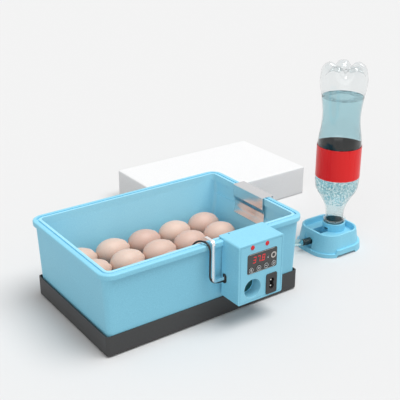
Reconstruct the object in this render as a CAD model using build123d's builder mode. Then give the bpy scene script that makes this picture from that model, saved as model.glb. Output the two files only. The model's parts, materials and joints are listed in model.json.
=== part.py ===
from build123d import *
import math
import os

# Water-bed egg incubator with hook-on controller, bottle-fed water feeder and lift-off foam lid.
# Millimetres, +Z up, X along the long side, Y towards the back, origin under the centre foot.

# ---------------------------------------------------------------- driving sizes
TRAY_HX = 170.0
TRAY_HY = 108.5
TRAY_TOP = 33.0
FOOT_H = 2.0
TRAY_WALL = 1.8
TRAY_FLOOR = 2.0
PAD_T = 2.0

SHELL_LOW = (165.0, 105.0, 6.0)
SHELL_HIGH = (169.5, 111.5, 13.0)
SHELL_WALL = 2.0
RIM_TOP = 129.5
SKIRT_LOW = RIM_TOP - 7.5
RIM_HX = 174.5
RIM_HY = 116.5
RIM_R = 20.0
RIM_BAND = 7.0

OPEN_HX = 161.0
OPEN_HY = 103.0
OPEN_R = 6.0
RIDGE_W = 4.2
GROOVE_DEPTH = 2.2
LINER_WALL = 1.8
POCKET_HX = 164.5
POCKET_TOP = RIM_TOP - 11.5
LEDGE_Z = RIM_TOP - 35.0
LEDGE_HX = 163.3
LEDGE_HY = 99.9
BASIN_Z = 15.0
BASIN_HX = 150.0
BASIN_HY = 93.0
PART_GAP = 0.3

EGG_L = 57.0
EGG_R = 20.5
EGG_PITCH = (57.9, 45.1)
EGG_COLUMNS = 5
EGG_ROWS = 4
EGG_CENTRE = (-2.6, -1.5)
BED_TOP = 39.5
BED_HX = 141.0
BED_HY = 91.0
FILM_T = 0.5

CASE_FRONT = -151.5
CASE_WALL = 3.0
BACK_T = 2.0
SADDLE_T = 2.2
CASE_X = (19.5, 101.2)
CASE_Z = (38.0, RIM_TOP + PART_GAP + SADDLE_T)
PANEL_T = 2.5
PANEL_GAP = 0.5
KEY_X = (41.3, 55.1, 68.7, 82.7)
KEY_Z = 90.5
KEY_R = 4.7
ROUND_KEY = (82.0, 104.0)
ROUND_KEY_R = 5.3
LED_AT = ((43.8, 125.1), (70.3, 125.1))
LED_R = 3.6
CANDLER_AT = (45.5, 59.7)
CANDLER_R = 15.0
CANDLER_DEPTH = 18.0
INLET_AT = (80.0, 58.1)
PIN_PITCH = 9.6

ROD = 5.0
ROD_X = -2.0
ROD_Z = 72.0
ROD_TOP = RIM_TOP + 4.0
ROD_Y = -119.3
LEAD_R = 1.5
LEAD_AT = (-119.8, 67.0)
CLIP_T = 1.2
CLIP_Y = (-33.0, 42.5)

FEEDER_AT = (319.4, -23.0)
FEEDER_BASE = (50.3, 49.5, 37.5)
FEEDER_TOP = (39.8, 41.1, 26.0)
FEEDER_H = 38.1
FEEDER_WALL = 3.4
SKIRT_H = 6.5
DISH_Z = 28.0
BOTTLE_AT = (332.2, -21.2)
COLLAR_R = 19.7
COLLAR_TOP = 42.0
NECK_R = 16.2
BOTTLE_WALL = 0.8
WATER_LEVEL = 267.0
BAND_Z = (114.0, 184.0)
LABEL_Z = (128.5, 183.5)
LABEL_R = 37.4

HOSE_R = 6.0
HOSE_BORE = 4.4
BARB_Y = -21.9
BARB_Z = 18.8
WALL_PORT = (-22.0, 46.0)
LID_SIZE = (315.0, 197.0, 57.0)
LID_CORNER = (126.0, 178.0)

# ---------------------------------------------------------------- derived sizes
SHELL_Z = FOOT_H + TRAY_FLOOR + PAD_T
SHELL_FLOOR = SHELL_Z + SHELL_WALL
LINER_FLOOR = BASIN_Z - LINER_WALL
BAND_HX = RIM_HX - RIM_BAND
BAND_HY = RIM_HY - RIM_BAND
RIDGE_HX = OPEN_HX + RIDGE_W
RIDGE_HY = OPEN_HY + RIDGE_W
GROOVE_Z = RIM_TOP - GROOVE_DEPTH
EGG_Z = BED_TOP + PART_GAP + EGG_R
CASE_BACK = -SHELL_HIGH[1] - PART_GAP
SADDLE_Y = -OPEN_HY + 0.2
PANEL_BACK = CASE_FRONT + PANEL_T
PANEL_X = (CASE_X[0] + CASE_WALL + PANEL_GAP, CASE_X[1] - CASE_WALL - PANEL_GAP)
PANEL_Z = (CASE_Z[0] + CASE_WALL + PANEL_GAP, CASE_Z[1] - CASE_WALL - PANEL_GAP)
KEY_BOARD_Y = PANEL_BACK + 2.4
MAIN_BOARD_Y = CASE_BACK - BACK_T - 4.0
BOARD_T = 1.6
SWITCH_Y = KEY_BOARD_Y - 0.5
WALL_SEAT = SHELL_LOW[0] + 3.4
LINER_SEAT = 152.2
COLLAR_BORE = NECK_R + 1.4

os.makedirs("parts", exist_ok=True)


# ---------------------------------------------------------------- shared steps
def slab(hx, hy, r, z0, z1, at=(0.0, 0.0), mode=Mode.ADD):
    """Rounded rectangle between two heights."""
    with BuildSketch(Plane.XY.offset(z0)) as outline:
        with Locations(at):
            RectangleRounded(2 * hx, 2 * hy, r)
    extrude(outline.sketch, amount=z1 - z0, mode=mode)


def tapered(low, high, z0, z1, grow=0.0, at=(0.0, 0.0), mode=Mode.ADD):
    """Tapered rounded block from (half x, half y, corner) at z0 to the same at z1."""
    faces = []
    for (hx, hy, r), z in ((low, z0), (high, z1)):
        with BuildSketch(Plane.XY.offset(z)) as outline:
            with Locations(at):
                RectangleRounded(2 * (hx + grow), 2 * (hy + grow), max(r + grow, 1.0))
        faces.append(outline.sketch)
    loft(faces, mode=mode)


def block(low, high, mode=Mode.ADD):
    """Axis-aligned block between two corners."""
    middle = [(a + b) / 2 for a, b in zip(low, high)]
    size = [b - a for a, b in zip(low, high)]
    with Locations(Pos(*middle)):
        Box(*size, mode=mode)


def disc_y(x, z, r, y0, y1, mode=Mode.ADD):
    """Cylinder along Y between y0 and y1."""
    with BuildSketch(Plane.XZ.offset(-y0)) as outline:
        with Locations((x, z)):
            Circle(r)
    extrude(outline.sketch, amount=y0 - y1, mode=mode)


def plate_y(x, z, wide, high, r, y0, y1, mode=Mode.ADD):
    """Rounded plate standing in XZ between y0 and y1."""
    with BuildSketch(Plane.XZ.offset(-y0)) as outline:
        with Locations((x, z)):
            RectangleRounded(wide, high, r)
    extrude(outline.sketch, amount=y0 - y1, mode=mode)


def disc_x(y, z, r, x0, x1, mode=Mode.ADD):
    """Cylinder along X between x0 and x1."""
    with BuildSketch(Plane.YZ.offset(x0)) as outline:
        with Locations((y, z)):
            Circle(r)
    extrude(outline.sketch, amount=x1 - x0, mode=mode)


def disc_z(x, y, r, z0, z1, mode=Mode.ADD):
    """Cylinder along Z between z0 and z1."""
    with BuildSketch(Plane.XY.offset(z0)) as outline:
        with Locations((x, y)):
            Circle(r)
    extrude(outline.sketch, amount=z1 - z0, mode=mode)


def turned_x(y, z, profile, mode=Mode.ADD):
    """Solid turned about an X line from (x, radius) points."""
    with BuildSketch(Plane.XZ.offset(-y)) as outline:
        with BuildLine():
            points = [(px, z + pr) for px, pr in profile]
            Polyline((profile[0][0], z), *points, (profile[-1][0], z), close=True)
        make_face()
    revolve(outline.sketch, axis=Axis((0, y, z), (1, 0, 0)), mode=mode)


def keep(builder, name):
    """Label a finished piece and write it."""
    builder.part.label = name
    export_step(builder.part, f"parts/{name}.step")


def mid(pair):
    """Middle of a pair."""
    return (pair[0] + pair[1]) / 2


def width(pair):
    """Width of a pair."""
    return pair[1] - pair[0]


# ---------------------------------------------------------------- tray
with BuildPart() as tray:
    slab(TRAY_HX, TRAY_HY, 5.0, FOOT_H, TRAY_TOP)
    fillet(tray.faces().sort_by(Axis.Z)[0].edges(), radius=1.2)
    slab(TRAY_HX - TRAY_WALL, TRAY_HY - TRAY_WALL, 3.2, FOOT_H + TRAY_FLOOR, TRAY_TOP, mode=Mode.SUBTRACT)
keep(tray, "tray")

with BuildPart() as tray_feet:
    for foot_x in (-150.0, 150.0):
        for foot_y in (-94.0, 94.0):
            slab(11.0, 6.0, 3.0, 0.0, FOOT_H, at=(foot_x, foot_y))
    disc_z(0, 0, 16.0, 0.0, FOOT_H)
keep(tray_feet, "tray_feet")

with BuildPart() as tray_pad:
    slab(155.0, 95.0, 4.0, FOOT_H + TRAY_FLOOR, SHELL_Z)
keep(tray_pad, "tray_pad")

# ---------------------------------------------------------------- outer shell
SHELL_TAPER = (SHELL_LOW, SHELL_HIGH)
with BuildPart() as outer_shell:
    tapered(*SHELL_TAPER, SHELL_Z, SKIRT_LOW)
    slab(SHELL_HIGH[0], SHELL_HIGH[1], SHELL_HIGH[2], SKIRT_LOW, RIM_TOP)
    slab(RIM_HX, RIM_HY, RIM_R, SKIRT_LOW, RIM_TOP)
    fillet(outer_shell.faces().sort_by(Axis.Z)[-1].edges(), radius=2.2)
    slab(RIM_HX - 1.8, RIM_HY - 1.8, RIM_R - 1.8, SKIRT_LOW, RIM_TOP - 2.2, mode=Mode.SUBTRACT)
    slab(SHELL_HIGH[0], SHELL_HIGH[1], SHELL_HIGH[2], SKIRT_LOW - 1.0, RIM_TOP - 2.2)
    tapered(*SHELL_TAPER, SHELL_FLOOR, SKIRT_LOW, grow=-SHELL_WALL, mode=Mode.SUBTRACT)
    slab(BAND_HX, BAND_HY, 11.0, SKIRT_LOW, RIM_TOP, mode=Mode.SUBTRACT)
    # ledge that carries the liner's lip
    slab(BAND_HX + 0.6, BAND_HY + 0.6, 11.6, GROOVE_Z - 3.8, GROOVE_Z - 1.8)
    slab(BAND_HX - 2.0, BAND_HY - 2.0, 9.0, GROOVE_Z - 3.8, GROOVE_Z - 1.8, mode=Mode.SUBTRACT)
    # flat seat for the hose port
    disc_x(WALL_PORT[0], WALL_PORT[1], 11.0, SHELL_LOW[0] - 0.6, WALL_SEAT)
    disc_x(WALL_PORT[0], WALL_PORT[1], 5.2, SHELL_LOW[0] - 10.0, WALL_SEAT, mode=Mode.SUBTRACT)
    # straight cut where the controller hooks on
    block(
        (CASE_X[0] - PART_GAP, -RIM_HY - 1, SKIRT_LOW - 1),
        (CASE_X[1] + PART_GAP, -SHELL_HIGH[1], RIM_TOP + 1),
        mode=Mode.SUBTRACT,
    )
keep(outer_shell, "outer_shell")

# ---------------------------------------------------------------- inner liner
LINER_TAPER = ((BASIN_HX, BASIN_HY, 8.0), (LEDGE_HX, LEDGE_HY, 7.0))
with BuildPart() as inner_liner:
    tapered(*LINER_TAPER, LINER_FLOOR, LEDGE_Z, grow=LINER_WALL)
    tapered((165.9, 101.8, 8.8), (166.3, 104.2, 8.8), LEDGE_Z - LINER_WALL, POCKET_TOP + LINER_WALL)
    slab(RIDGE_HX, RIDGE_HY, 10.2, POCKET_TOP, GROOVE_Z)
    slab(RIDGE_HX, RIDGE_HY, 10.2, GROOVE_Z - 1.8, RIM_TOP)
    fillet(inner_liner.faces().sort_by(Axis.Z)[-1].edges(), radius=1.0)
    slab(BAND_HX - PART_GAP, BAND_HY - PART_GAP, 10.7, GROOVE_Z - 1.8, GROOVE_Z)
    disc_x(WALL_PORT[0], WALL_PORT[1], 10.0, LINER_SEAT, LINER_SEAT + 6.0)
    tapered(*LINER_TAPER, BASIN_Z, LEDGE_Z, mode=Mode.SUBTRACT)
    tapered((POCKET_HX, LEDGE_HY, 7.0), (POCKET_HX, 102.3, 7.0), LEDGE_Z, POCKET_TOP, mode=Mode.SUBTRACT)
    tapered((OPEN_HX, 102.3, OPEN_R), (OPEN_HX, OPEN_HY, OPEN_R), POCKET_TOP, RIM_TOP, mode=Mode.SUBTRACT)
    disc_x(WALL_PORT[0], WALL_PORT[1], 10.0, LINER_SEAT, LINER_SEAT + 5.0)
    disc_x(WALL_PORT[0], WALL_PORT[1], 5.2, LINER_SEAT, LEDGE_HX, mode=Mode.SUBTRACT)
    fillet(inner_liner.edges().filter_by(Axis.X).group_by(Axis.Z)[0], radius=1.0)
keep(inner_liner, "inner_liner")

JACKET_TOP = LEDGE_Z - 20.5
with BuildPart() as insulation_jacket:
    top_share = (JACKET_TOP - SHELL_Z) / (SKIRT_LOW - SHELL_Z)
    jacket_top = [a + (b - a) * top_share for a, b in zip(*SHELL_TAPER)]
    tapered(SHELL_LOW, jacket_top, SHELL_FLOOR, JACKET_TOP, grow=-SHELL_WALL - 0.6)
    tapered(*LINER_TAPER, LINER_FLOOR, LEDGE_Z, grow=LINER_WALL + 0.4, mode=Mode.SUBTRACT)
    disc_x(WALL_PORT[0], WALL_PORT[1], 10.8, LINER_SEAT, WALL_SEAT, mode=Mode.SUBTRACT)
keep(insulation_jacket, "insulation_jacket")

with BuildPart() as heating_film:
    slab(132.0, 82.0, 6.0, BASIN_Z, BASIN_Z + FILM_T)
keep(heating_film, "heating_film")

with BuildPart() as water_bed:
    slab(BED_HX, BED_HY, 9.0, BASIN_Z + FILM_T, BED_TOP)
    fillet(water_bed.faces().sort_by(Axis.Z)[-1].edges(), radius=6.0)
    fillet(water_bed.faces().sort_by(Axis.Z)[0].edges(), radius=4.0)
keep(water_bed, "water_bed")

# ---------------------------------------------------------------- eggs
with BuildPart() as eggs:
    with BuildSketch(Plane.XZ) as egg_outline:
        with BuildLine():
            shares = (-1.0, -0.96, -0.85, -0.6, -0.3, 0.0, 0.3, 0.6, 0.85, 0.96, 1.0)
            rise = [math.sqrt(1 - u * u) * (1 - 0.07 * u) / 1.0025 for u in shares]
            outline_points = [(u * EGG_L / 2, EGG_R * r) for u, r in zip(shares, rise)]
            crown = Spline(*outline_points, tangents=((0, 1), (0, -1)))
            Line(crown @ 1, crown @ 0)
        make_face()
    egg = revolve(egg_outline.sketch, axis=Axis.X, mode=Mode.PRIVATE)
    for column in range(EGG_COLUMNS):
        for row in range(EGG_ROWS):
            egg_x = EGG_CENTRE[0] + (column - (EGG_COLUMNS - 1) / 2) * EGG_PITCH[0]
            egg_y = EGG_CENTRE[1] + (row - (EGG_ROWS - 1) / 2) * EGG_PITCH[1]
            add(Pos(egg_x, egg_y, EGG_Z) * egg)
keep(eggs, "eggs")

# ---------------------------------------------------------------- controller case
with BuildPart() as controller_case:
    block((CASE_X[0], CASE_FRONT, CASE_Z[0]), (CASE_X[1], CASE_BACK, CASE_Z[1]))
    fillet(controller_case.edges().filter_by(Axis.Y), radius=3.0)
    fillet(controller_case.faces().sort_by(Axis.Y)[0].edges(), radius=0.8)
    plate_y(
        mid(CASE_X),
        mid(CASE_Z),
        width(CASE_X) - 2 * CASE_WALL,
        width(CASE_Z) - 2 * CASE_WALL,
        1.5,
        CASE_FRONT,
        CASE_BACK - BACK_T,
        mode=Mode.SUBTRACT,
    )
    block((CASE_X[0], CASE_BACK - 3, CASE_Z[1] - SADDLE_T), (CASE_X[1], SADDLE_Y, CASE_Z[1]))
    fillet(controller_case.edges().filter_by(Axis.Z).group_by(Axis.Y)[-1], radius=3.0)
    # rib that drops into the rim groove
    block(
        (CASE_X[0] + 6, -BAND_HY + 0.45, GROOVE_Z + 0.6),
        (CASE_X[1] - 6, -RIDGE_HY - 0.45, CASE_Z[1] - SADDLE_T),
    )
    # panel posts and board stand-offs
    for post_x in (PANEL_X[0] + 3.0, PANEL_X[1] - 3.0):
        for post_z in (PANEL_Z[0] + 3.0, PANEL_Z[1] - 3.0):
            disc_y(post_x, post_z, 3.5, PANEL_BACK, CASE_BACK - BACK_T)
    for post_x in (38.0, 84.0):
        for post_z in (84.0, 116.0):
            disc_y(post_x, post_z, 2.5, MAIN_BOARD_Y, CASE_BACK - BACK_T)
    # side holes for the hook rod and the probe lead
    block((CASE_X[0] - 1, ROD_Y - ROD / 2, ROD_Z - ROD / 2), (CASE_X[0] + 4, ROD_Y + ROD / 2, ROD_Z + ROD / 2), mode=Mode.SUBTRACT)
    disc_x(*LEAD_AT, LEAD_R + 0.4, CASE_X[0] - 1, CASE_X[0] + 4, mode=Mode.SUBTRACT)
    disc_z(36.0, -106.0, 1.6, CASE_Z[1] - 1.2, CASE_Z[1], mode=Mode.SUBTRACT)
keep(controller_case, "controller_case")

with BuildPart() as saddle_screw:
    disc_z(36.0, -106.0, 1.6, CASE_Z[1] - 1.2, CASE_Z[1] - 0.3)
    block((34.9, -106.2, CASE_Z[1] - 0.6), (37.1, -105.8, CASE_Z[1]), mode=Mode.SUBTRACT)
keep(saddle_screw, "saddle_screw")

WINDOW = (mid((34.8, 88.9)), mid((84.3, 115.7)), 54.1, 31.4)
with BuildPart() as front_panel:
    plate_y(mid(PANEL_X), mid(PANEL_Z), width(PANEL_X), width(PANEL_Z), 1.2, CASE_FRONT, PANEL_BACK)
    for post_x in (33.0, 87.0):
        for post_z in (81.0, 118.5):
            disc_y(post_x, post_z, 2.0, PANEL_BACK, KEY_BOARD_Y)
    plate_y(*WINDOW, 3.0, CASE_FRONT, CASE_FRONT + 1.2, mode=Mode.SUBTRACT)
    for key_x in KEY_X:
        disc_y(key_x, KEY_Z, KEY_R + PART_GAP, CASE_FRONT, PANEL_BACK, mode=Mode.SUBTRACT)
    disc_y(*ROUND_KEY, ROUND_KEY_R + PART_GAP, CASE_FRONT, PANEL_BACK, mode=Mode.SUBTRACT)
    plate_y(55.2, 105.0, 27.0, 15.0, 0.5, CASE_FRONT, PANEL_BACK, mode=Mode.SUBTRACT)
    for led in LED_AT:
        disc_y(*led, LED_R, CASE_FRONT, PANEL_BACK, mode=Mode.SUBTRACT)
    disc_y(*CANDLER_AT, CANDLER_R + 1.0, CASE_FRONT, PANEL_BACK, mode=Mode.SUBTRACT)
    plate_y(*INLET_AT, 17.0, 26.0, 3.0, CASE_FRONT, PANEL_BACK, mode=Mode.SUBTRACT)
keep(front_panel, "front_panel")

with BuildPart() as display_window:
    plate_y(*WINDOW, 3.0, CASE_FRONT - 0.4, CASE_FRONT + 1.2)
    fillet(display_window.faces().sort_by(Axis.Y)[0].edges(), radius=0.3)
    for key_x in KEY_X:
        disc_y(key_x, KEY_Z, KEY_R + PART_GAP, CASE_FRONT - 1, PANEL_BACK, mode=Mode.SUBTRACT)
    disc_y(*ROUND_KEY, ROUND_KEY_R + PART_GAP, CASE_FRONT - 1, PANEL_BACK, mode=Mode.SUBTRACT)
keep(display_window, "display_window")

with BuildPart() as digit_display:
    plate_y(55.2, 105.0, 26.0, 14.0, 0.4, CASE_FRONT + 1.2, KEY_BOARD_Y)
keep(digit_display, "digit_display")


def key_at(x, z, r, name):
    """Push key with a retaining flange behind the panel."""
    with BuildPart() as key:
        disc_y(x, z, r, CASE_FRONT - 1.0, PANEL_BACK + PART_GAP)
        fillet(key.faces().sort_by(Axis.Y)[0].edges(), radius=0.4)
        disc_y(x, z, r + 1.1, PANEL_BACK + PART_GAP, PANEL_BACK + 1.0)
    keep(key, name)


for index, key_x in enumerate(KEY_X):
    key_at(key_x, KEY_Z, KEY_R, f"key_{index + 1}")
key_at(*ROUND_KEY, ROUND_KEY_R, "round_key")

with BuildPart() as key_board:
    plate_y(60.0, 102.5, 60.0, 47.0, 1.0, KEY_BOARD_Y, KEY_BOARD_Y + BOARD_T)
    for key_x in KEY_X:
        plate_y(key_x, KEY_Z, 5.0, 5.0, 0.5, SWITCH_Y, KEY_BOARD_Y)
    plate_y(*ROUND_KEY, 5.0, 5.0, 0.5, SWITCH_Y, KEY_BOARD_Y)
keep(key_board, "key_board")

with BuildPart() as indicator_leds:
    for led in LED_AT:
        disc_y(*led, LED_R, CASE_FRONT - 0.8, KEY_BOARD_Y)
    fillet(indicator_leds.faces().sort_by(Axis.Y)[0].edges(), radius=1.4)
    fillet(indicator_leds.faces().sort_by(Axis.Y)[1].edges(), radius=1.4)
keep(indicator_leds, "indicator_leds")

with BuildPart() as main_board:
    plate_y(60.0, 85.0, 62.0, 74.0, 1.0, MAIN_BOARD_Y - BOARD_T, MAIN_BOARD_Y)
keep(main_board, "main_board")

BOARD_FRONT = MAIN_BOARD_Y - BOARD_T
with BuildPart() as relay:
    block((66.0, BOARD_FRONT - 14, 98.0), (84.0, BOARD_FRONT, 110.0))
    fillet(relay.edges().filter_by(Axis.Y), radius=0.8)
keep(relay, "relay")

with BuildPart() as transformer:
    block((66.0, BOARD_FRONT - 13, 52.0), (88.0, BOARD_FRONT, 72.0))
    block((68.5, BOARD_FRONT - 12, 49.5), (85.5, BOARD_FRONT - 1, 74.5))
keep(transformer, "transformer")

with BuildPart() as buzzer:
    disc_y(40.0, 98.0, 6.0, BOARD_FRONT - 8, BOARD_FRONT)
    disc_y(40.0, 98.0, 1.2, BOARD_FRONT - 8, BOARD_FRONT - 6, mode=Mode.SUBTRACT)
keep(buzzer, "buzzer")

# ---------------------------------------------------------------- candler
CANDLER_END = CASE_FRONT + CANDLER_DEPTH + 5.0
LENS_R = CANDLER_R - 1.2
with BuildPart() as candler_tube:
    disc_y(*CANDLER_AT, CANDLER_R + 1.0, CASE_FRONT, CANDLER_END)
    disc_y(*CANDLER_AT, CANDLER_R + 3.0, PANEL_BACK, PANEL_BACK + 2.0)
    disc_y(*CANDLER_AT, CANDLER_R, CASE_FRONT, CASE_FRONT + CANDLER_DEPTH, mode=Mode.SUBTRACT)
    disc_y(*CANDLER_AT, LENS_R, CASE_FRONT, CASE_FRONT + CANDLER_DEPTH + 2.0, mode=Mode.SUBTRACT)
    disc_y(*CANDLER_AT, LENS_R - 2.0, CASE_FRONT, CANDLER_END, mode=Mode.SUBTRACT)
keep(candler_tube, "candler_tube")

with BuildPart() as candler_lens:
    disc_y(*CANDLER_AT, LENS_R, CASE_FRONT + CANDLER_DEPTH, CASE_FRONT + CANDLER_DEPTH + 2.0)
keep(candler_lens, "candler_lens")

with BuildPart() as candler_led:
    disc_y(*CANDLER_AT, CANDLER_R + 1.0, CANDLER_END, CANDLER_END + BOARD_T)
    disc_y(*CANDLER_AT, 4.0, CANDLER_END - 2.4, CANDLER_END)
keep(candler_led, "candler_led")

# ---------------------------------------------------------------- mains inlet
INLET_BACK = CASE_FRONT + 15.0
with BuildPart() as power_inlet:
    plate_y(*INLET_AT, 20.0, 33.0, 3.0, CASE_FRONT - 1.5, CASE_FRONT)
    fillet(power_inlet.faces().sort_by(Axis.Y)[0].edges(), radius=0.6)
    plate_y(*INLET_AT, 16.6, 25.6, 2.8, CASE_FRONT, INLET_BACK)
    for side in (-1, 1):
        disc_y(INLET_AT[0], INLET_AT[1] + side * PIN_PITCH / 2, 4.3, CASE_FRONT - 1.5, CASE_FRONT + 11, mode=Mode.SUBTRACT)
        disc_y(INLET_AT[0], INLET_AT[1] + side * PIN_PITCH / 2, 1.2, CASE_FRONT, INLET_BACK, mode=Mode.SUBTRACT)
    plate_y(*INLET_AT, 6.6, PIN_PITCH, 0.4, CASE_FRONT - 1.5, CASE_FRONT + 11, mode=Mode.SUBTRACT)
keep(power_inlet, "power_inlet")

with BuildPart() as inlet_pins:
    for side in (-1, 1):
        disc_y(INLET_AT[0], INLET_AT[1] + side * PIN_PITCH / 2, 1.2, CASE_FRONT + 1.0, INLET_BACK + 3.0)
keep(inlet_pins, "inlet_pins")

# ---------------------------------------------------------------- hook rod, grommet and probe
with BuildPart() as hook_rod:
    with BuildLine() as rod_route:
        FilletPolyline(
            (CASE_X[0] + CASE_WALL, ROD_Y, ROD_Z),
            (ROD_X, ROD_Y, ROD_Z),
            (ROD_X, ROD_Y, ROD_TOP),
            (ROD_X, -OPEN_HY + 4.0, ROD_TOP),
            (ROD_X, -OPEN_HY + 4.0, ROD_TOP - 18.0),
            radius=5.0,
        )
    with BuildSketch(Plane.YZ.offset(CASE_X[0] + CASE_WALL)):
        with Locations((ROD_Y, ROD_Z)):
            Rectangle(ROD, ROD)
    sweep()
keep(hook_rod, "hook_rod")

LEAD_ROUTE = [
    (17.9, *LEAD_AT),
    (-7.4, -120.2, 67.0),
    (-8.4, -121.6, 100.0),
    (-7.4, -121.6, 134.2),
    (-15.0, -96.0, 132.4),
    (-26.0, -94.0, 112.0),
    (-24.0, -93.2, 80.0),
    (-26.0, -92.7, 58.0),
    (-50.0, -92.7, 50.5),
]
LEAD_TURN = 9.0


def routed(points, floor):
    """Rounded route whose bend radii follow the shorter run and turn at each corner."""
    radii = []
    for before, corner, after in zip(points, points[1:], points[2:]):
        back = [b - a for a, b in zip(before, corner)]
        ahead = [b - a for a, b in zip(corner, after)]
        short = min(math.hypot(*back), math.hypot(*ahead))
        cosine = sum(a * b for a, b in zip(back, ahead)) / (math.hypot(*back) * math.hypot(*ahead))
        turn = math.acos(max(-1.0, min(1.0, cosine)))
        radius = min(0.45 * short / math.tan(turn / 2), 200.0)
        print("bend", [round(c, 1) for c in corner], "turn", round(math.degrees(turn)), "radius", round(radius, 1))
        if radius < floor:
            print("TIGHT BEND", round(radius, 1), "under", floor)
        radii.append(radius)
    return FilletPolyline(*points, radius=radii)


def tube_along(points, outer, bore, floor):
    """Round tube or cord swept along a rounded route."""
    with BuildLine() as route:
        routed(points, floor)
    start = Plane(origin=route.wire() @ 0, z_dir=route.wire() % 0)
    with BuildSketch(start) as section:
        Circle(outer)
        if bore:
            Circle(bore, mode=Mode.SUBTRACT)
    sweep(section.sketch, path=route.wire())
    area = math.pi * (outer**2 - bore**2)
    print("route length", round(route.wire().length, 1), "section x length", round(area * route.wire().length, 1))


with BuildPart() as probe_lead:
    tube_along(LEAD_ROUTE, LEAD_R, 0.0, 6 * LEAD_R)
print("probe_lead volume", round(probe_lead.part.volume, 1))
keep(probe_lead, "probe_lead")

with BuildPart() as probe_capsule:
    lead_end = LEAD_ROUTE[-1]
    run_in = [b - a for a, b in zip(LEAD_ROUTE[-2], lead_end)]
    with BuildSketch(Plane(origin=lead_end, z_dir=run_in)) as capsule_section:
        Circle(2.2)
    extrude(capsule_section.sketch, amount=24.0)
    fillet(probe_capsule.faces().sort_by(Axis.X)[0].edges(), radius=1.4)
keep(probe_capsule, "probe_capsule")

with BuildPart() as lead_grommet:
    with BuildSketch(Plane.YZ.offset(CASE_X[0] - 1.6)) as grommet_outline:
        with Locations((ROD_Y, 70.2)):
            RectangleRounded(8.8, 14.6, 4.2)
        with Locations((ROD_Y, ROD_Z)):
            Rectangle(ROD, ROD, mode=Mode.SUBTRACT)
    extrude(grommet_outline.sketch, amount=1.6)
    # kept outside the rim, so the case lifts off past it
    block((CASE_X[0] - 2.0, -RIM_HY - 0.25, 60.0), (CASE_X[0], -RIM_HY + 5.0, 80.0), mode=Mode.SUBTRACT)
    disc_x(*LEAD_AT, LEAD_R + 0.4, CASE_X[0], CASE_X[0] + CASE_WALL + 1.0)
keep(lead_grommet, "lead_grommet")

# ---------------------------------------------------------------- rim clip
with BuildPart() as rim_clip:
    clip_top = RIM_TOP + PART_GAP + CLIP_T / 2
    with BuildSketch(Plane.XZ.offset(-CLIP_Y[1])) as clip_profile:
        with BuildLine():
            FilletPolyline(
                (180.0, RIM_TOP - 2.7),
                (180.0, clip_top),
                (OPEN_HX - 2.3, clip_top),
                (OPEN_HX - 2.3, RIM_TOP - 18.7),
                (LEDGE_HX - 0.9, RIM_TOP - 27.0),
                (LEDGE_HX - 1.1, RIM_TOP - 37.0),
                (LEDGE_HX - 3.4, RIM_TOP - 48.5),
                radius=[1.0, 1.0, 1.0, 6.0, 24.0],
            )
        trace(line_width=CLIP_T)
    extrude(clip_profile.sketch, amount=width(CLIP_Y))
keep(rim_clip, "rim_clip")

# ---------------------------------------------------------------- hose port in the basin wall
PORT_Y, PORT_Z = WALL_PORT
SPOUT_X = LINER_SEAT - 5.4
with BuildPart() as wall_barb:
    turned_x(
        PORT_Y,
        PORT_Z,
        [
            (SPOUT_X, 4.9),
            (WALL_SEAT + 1.5, 4.9),
            (WALL_SEAT + 1.5, 9.0),
            (WALL_SEAT + 3.5, 9.0),
            (WALL_SEAT + 3.5, HOSE_BORE),
            (WALL_SEAT + 18.0, HOSE_BORE),
        ],
    )
    disc_x(PORT_Y, PORT_Z, 2.0, LINER_SEAT - 2.0, WALL_SEAT + 18.0, mode=Mode.SUBTRACT)
    disc_z(SPOUT_X, PORT_Y, 2.8, 22.0, PORT_Z + 4.9)
    disc_z(SPOUT_X, PORT_Y, 1.8, 22.0, PORT_Z + 1.8, mode=Mode.SUBTRACT)
    disc_x(PORT_Y, PORT_Z, 2.0, SPOUT_X, LINER_SEAT, mode=Mode.SUBTRACT)
keep(wall_barb, "wall_barb")

with BuildPart() as wall_barb_seal:
    disc_x(PORT_Y, PORT_Z, 9.0, WALL_SEAT, WALL_SEAT + 1.5)
    disc_x(PORT_Y, PORT_Z, 5.2, WALL_SEAT, WALL_SEAT + 1.5, mode=Mode.SUBTRACT)
keep(wall_barb_seal, "wall_barb_seal")

with BuildPart() as wall_barb_nut:
    with BuildSketch(Plane.YZ.offset(LINER_SEAT - 2.0)) as nut_outline:
        with Locations((PORT_Y, PORT_Z)):
            RegularPolygon(8.0, 6)
            Circle(5.0, mode=Mode.SUBTRACT)
    extrude(nut_outline.sketch, amount=2.0)
keep(wall_barb_nut, "wall_barb_nut")

# ---------------------------------------------------------------- feeder
BODY_LOW = tuple(size - 3.4 for size in FEEDER_BASE)
BODY_Z = SKIRT_H - 2.0
HOLLOW_Z = DISH_Z - 2.6
SUMP = ((298.0, -25.6), (319.0, -4.5), 8.0)
FLAT_X = 278.3
FLAT_Y = (-29.5, -9.0)
NOTCH_X = (290.0, 343.0)
NOTCH_UNDER = 4.4
NOTCH_RISE = 12.7
FEEDER_FRONT = FEEDER_AT[1] - FEEDER_BASE[1]


def notch_prism(x, top, slope, y0, y1, mode):
    """Trapezium prism that shapes the finger notch."""
    with BuildSketch(Plane.XZ.offset(-y0)) as outline:
        with BuildLine():
            Polyline((x[0], -1.0), (x[1], -1.0), (x[1] - slope, top), (x[0] + slope, top), close=True)
        make_face()
    extrude(outline.sketch, amount=y0 - y1, mode=mode)


with BuildPart() as notch_hood:
    hood_top = tuple(size - 1.0 for size in FEEDER_BASE)
    tapered(FEEDER_BASE, hood_top, 0.0, NOTCH_RISE, at=FEEDER_AT)
    notch_prism((NOTCH_X[0], NOTCH_X[1] + 50.0), NOTCH_RISE, 7.0, FEEDER_FRONT - 1, FEEDER_AT[1], Mode.INTERSECT)

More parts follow.
